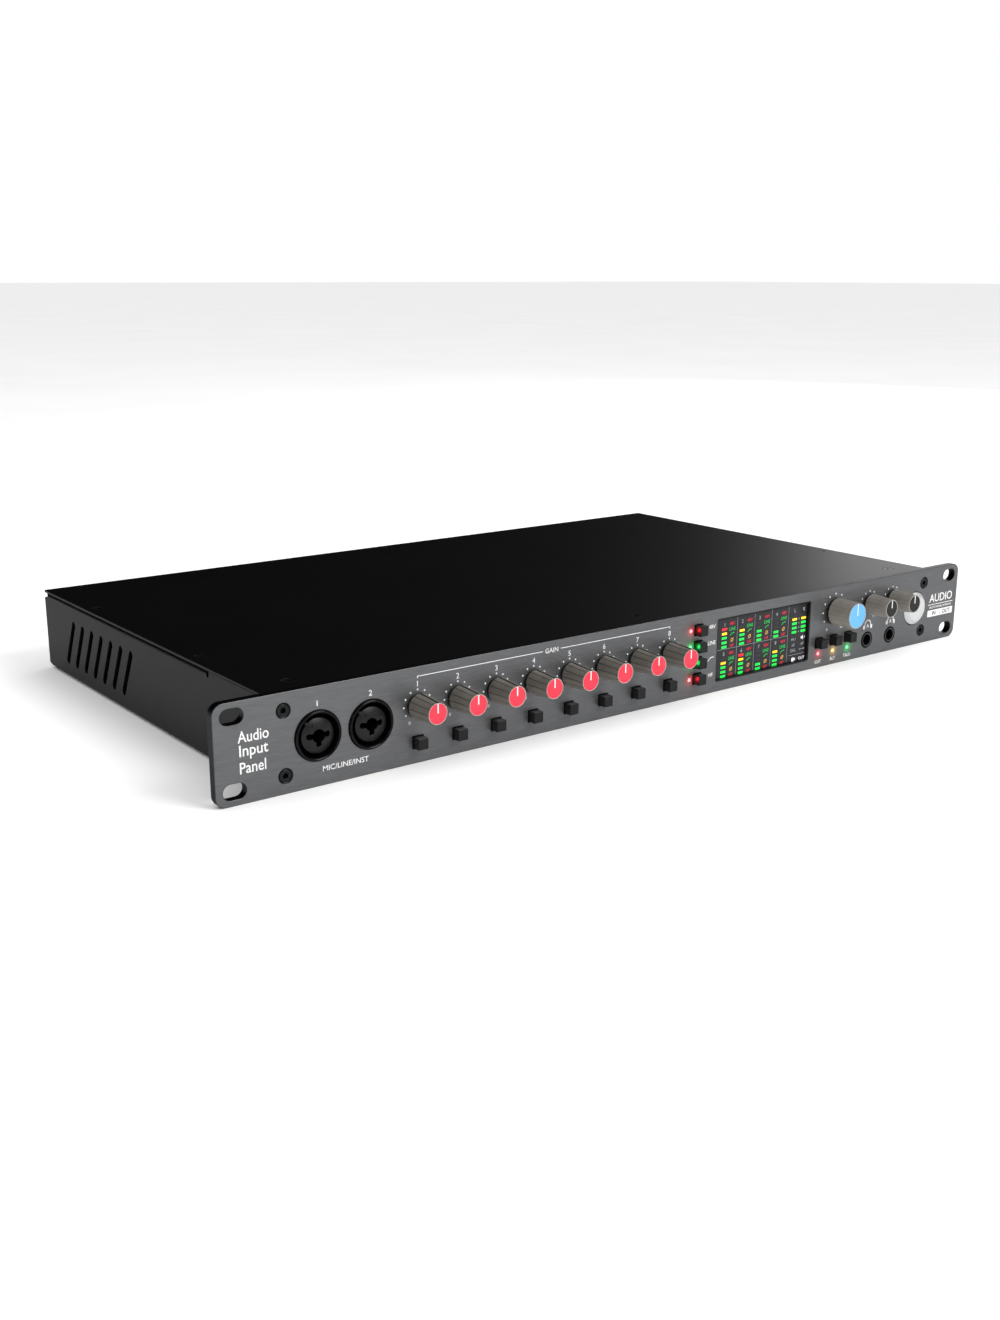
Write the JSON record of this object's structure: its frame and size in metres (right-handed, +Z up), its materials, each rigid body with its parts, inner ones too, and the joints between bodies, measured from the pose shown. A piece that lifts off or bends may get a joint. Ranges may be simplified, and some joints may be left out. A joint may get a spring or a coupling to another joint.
{
  "type": "audio interface",
  "caption": "Rack-mounted audio interface one unit high, with combination jacks, rotary level controls, push buttons, a colour level display and a vented steel case.",
  "frame": {"origin": "under the middle of the whole object's bounding box, level with the lower edge of the front panel", "axes": "+X to the right as seen from the front, +Y from the front panel towards the rear sockets, +Z up"},
  "size_m": [0.4826, 0.2784, 0.044],
  "materials": {
    "panel_aluminium": "brushed along its length, dark grey anodised",
    "case_steel": "fine textured black powder coat",
    "knob_grey": "satin",
    "button_black": "satin",
    "button_silver": "satin",
    "socket_black": "gloss",
    "screw_black": "black oxide",
    "window_black": "gloss",
    "module_grey": "satin",
    "board_green": "solder mask",
    "light_guide": "clear",
    "plain_metal": "nickel plated",
    "cable_grey": "plain"
  },
  "bodies": {
    "case": {"front_panel": "panel_aluminium", "panel_screw_1": "screw_black", "panel_screw_2": "screw_black", "panel_screw_3": "screw_black", "panel_screw_4": "screw_black", "chassis_base": "case_steel", "top_cover": "case_steel", "rear_panel": "case_steel", "power_switch": "module_grey", "function_light_guide": "light_guide", "monitor_light_guide": "light_guide", "display_window": "window_black", "display_module": "module_grey", "front_board": "board_green", "main_board": "board_green", "power_supply": "board_green", "ribbon_cable": "cable_grey", "combo_jack_1": "socket_black", "combo_jack_2": "socket_black", "combo_jack_3": "socket_black", "combo_jack_4": "socket_black", "combo_jack_5": "socket_black", "combo_jack_6": "socket_black", "combo_jack_7": "socket_black", "combo_jack_8": "socket_black", "phones_jack_a": "socket_black", "phones_jack_b": "socket_black", "output_jack_bank": "socket_black", "optical_ports": "socket_black", "clock_sockets": "plain_metal", "midi_sockets": "socket_black", "usb_socket": "plain_metal", "mains_inlet": "socket_black"},
    "gain_knob_1_body": {"gain_knob_1": "knob_grey"},
    "gain_knob_2_body": {"gain_knob_2": "knob_grey"},
    "gain_knob_3_body": {"gain_knob_3": "knob_grey"},
    "gain_knob_4_body": {"gain_knob_4": "knob_grey"},
    "gain_knob_5_body": {"gain_knob_5": "knob_grey"},
    "gain_knob_6_body": {"gain_knob_6": "knob_grey"},
    "gain_knob_7_body": {"gain_knob_7": "knob_grey"},
    "gain_knob_8_body": {"gain_knob_8": "knob_grey"},
    "channel_button_1_body": {"channel_button_1": "button_black"},
    "channel_button_2_body": {"channel_button_2": "button_black"},
    "channel_button_3_body": {"channel_button_3": "button_black"},
    "channel_button_4_body": {"channel_button_4": "button_black"},
    "channel_button_5_body": {"channel_button_5": "button_black"},
    "channel_button_6_body": {"channel_button_6": "button_black"},
    "channel_button_7_body": {"channel_button_7": "button_black"},
    "channel_button_8_body": {"channel_button_8": "button_black"},
    "phantom_button_body": {"phantom_button": "button_black"},
    "line_button_body": {"line_button": "button_black"},
    "filter_button_body": {"filter_button": "button_black"},
    "tone_button_body": {"tone_button": "button_black"},
    "cut_button_body": {"cut_button": "button_black"},
    "alternate_button_body": {"alternate_button": "button_black"},
    "talk_button_body": {"talk_button": "button_black"},
    "monitor_knob_body": {"monitor_knob": "knob_grey"},
    "phones_knob_a_body": {"phones_knob_a": "knob_grey"},
    "phones_knob_b_body": {"phones_knob_b": "knob_grey"},
    "power_button_body": {"power_button": "button_silver"}
  },
  "joints": [
    {"name": "gain_knob_1_turn", "type": "hinge", "parent": "case", "child": "gain_knob_1_body", "pos_m": [-0.1436, -0.12355, 0.0264], "axis": [0, 1, 0], "range_deg": [-150, 150]},
    {"name": "gain_knob_2_turn", "type": "hinge", "parent": "case", "child": "gain_knob_2_body", "pos_m": [-0.1221, -0.12355, 0.0264], "axis": [0, 1, 0], "range_deg": [-150, 150]},
    {"name": "gain_knob_3_turn", "type": "hinge", "parent": "case", "child": "gain_knob_3_body", "pos_m": [-0.1006, -0.12355, 0.0264], "axis": [0, 1, 0], "range_deg": [-150, 150]},
    {"name": "gain_knob_4_turn", "type": "hinge", "parent": "case", "child": "gain_knob_4_body", "pos_m": [-0.0791, -0.12355, 0.0264], "axis": [0, 1, 0], "range_deg": [-150, 150]},
    {"name": "gain_knob_5_turn", "type": "hinge", "parent": "case", "child": "gain_knob_5_body", "pos_m": [-0.0576, -0.12355, 0.0264], "axis": [0, 1, 0], "range_deg": [-150, 150]},
    {"name": "gain_knob_6_turn", "type": "hinge", "parent": "case", "child": "gain_knob_6_body", "pos_m": [-0.0361, -0.12355, 0.0264], "axis": [0, 1, 0], "range_deg": [-150, 150]},
    {"name": "gain_knob_7_turn", "type": "hinge", "parent": "case", "child": "gain_knob_7_body", "pos_m": [-0.0146, -0.12355, 0.0264], "axis": [0, 1, 0], "range_deg": [-150, 150]},
    {"name": "gain_knob_8_turn", "type": "hinge", "parent": "case", "child": "gain_knob_8_body", "pos_m": [0.0069, -0.12355, 0.0264], "axis": [0, 1, 0], "range_deg": [-150, 150]},
    {"name": "channel_button_1_press", "type": "slide", "parent": "case", "child": "channel_button_1_body", "axis": [0, 1, 0], "range_m": [0, 0.0008], "stiffness_N_per_m": 500},
    {"name": "channel_button_2_press", "type": "slide", "parent": "case", "child": "channel_button_2_body", "axis": [0, 1, 0], "range_m": [0, 0.0008], "stiffness_N_per_m": 500},
    {"name": "channel_button_3_press", "type": "slide", "parent": "case", "child": "channel_button_3_body", "axis": [0, 1, 0], "range_m": [0, 0.0008], "stiffness_N_per_m": 500},
    {"name": "channel_button_4_press", "type": "slide", "parent": "case", "child": "channel_button_4_body", "axis": [0, 1, 0], "range_m": [0, 0.0008], "stiffness_N_per_m": 500},
    {"name": "channel_button_5_press", "type": "slide", "parent": "case", "child": "channel_button_5_body", "axis": [0, 1, 0], "range_m": [0, 0.0008], "stiffness_N_per_m": 500},
    {"name": "channel_button_6_press", "type": "slide", "parent": "case", "child": "channel_button_6_body", "axis": [0, 1, 0], "range_m": [0, 0.0008], "stiffness_N_per_m": 500},
    {"name": "channel_button_7_press", "type": "slide", "parent": "case", "child": "channel_button_7_body", "axis": [0, 1, 0], "range_m": [0, 0.0008], "stiffness_N_per_m": 500},
    {"name": "channel_button_8_press", "type": "slide", "parent": "case", "child": "channel_button_8_body", "axis": [0, 1, 0], "range_m": [0, 0.0008], "stiffness_N_per_m": 500},
    {"name": "phantom_button_press", "type": "slide", "parent": "case", "child": "phantom_button_body", "axis": [0, 1, 0], "range_m": [0, 0.0008], "stiffness_N_per_m": 500},
    {"name": "line_button_press", "type": "slide", "parent": "case", "child": "line_button_body", "axis": [0, 1, 0], "range_m": [0, 0.0008], "stiffness_N_per_m": 500},
    {"name": "filter_button_press", "type": "slide", "parent": "case", "child": "filter_button_body", "axis": [0, 1, 0], "range_m": [0, 0.0008], "stiffness_N_per_m": 500},
    {"name": "tone_button_press", "type": "slide", "parent": "case", "child": "tone_button_body", "axis": [0, 1, 0], "range_m": [0, 0.0008], "stiffness_N_per_m": 500},
    {"name": "cut_button_press", "type": "slide", "parent": "case", "child": "cut_button_body", "axis": [0, 1, 0], "range_m": [0, 0.0008], "stiffness_N_per_m": 500},
    {"name": "alternate_button_press", "type": "slide", "parent": "case", "child": "alternate_button_body", "axis": [0, 1, 0], "range_m": [0, 0.0008], "stiffness_N_per_m": 500},
    {"name": "talk_button_press", "type": "slide", "parent": "case", "child": "talk_button_body", "axis": [0, 1, 0], "range_m": [0, 0.0008], "stiffness_N_per_m": 500},
    {"name": "monitor_knob_turn", "type": "hinge", "parent": "case", "child": "monitor_knob_body", "pos_m": [0.1317, -0.12355, 0.03025], "axis": [0, 1, 0], "range_deg": [-150, 150]},
    {"name": "phones_knob_a_turn", "type": "hinge", "parent": "case", "child": "phones_knob_a_body", "pos_m": [0.1608, -0.12355, 0.0303], "axis": [0, 1, 0], "range_deg": [-150, 150]},
    {"name": "phones_knob_b_turn", "type": "hinge", "parent": "case", "child": "phones_knob_b_body", "pos_m": [0.1808, -0.12355, 0.0303], "axis": [0, 1, 0], "range_deg": [-150, 150]},
    {"name": "power_button_press", "type": "slide", "parent": "case", "child": "power_button_body", "axis": [0, 1, 0], "range_m": [0, 0.0015], "stiffness_N_per_m": 600}
  ]
}
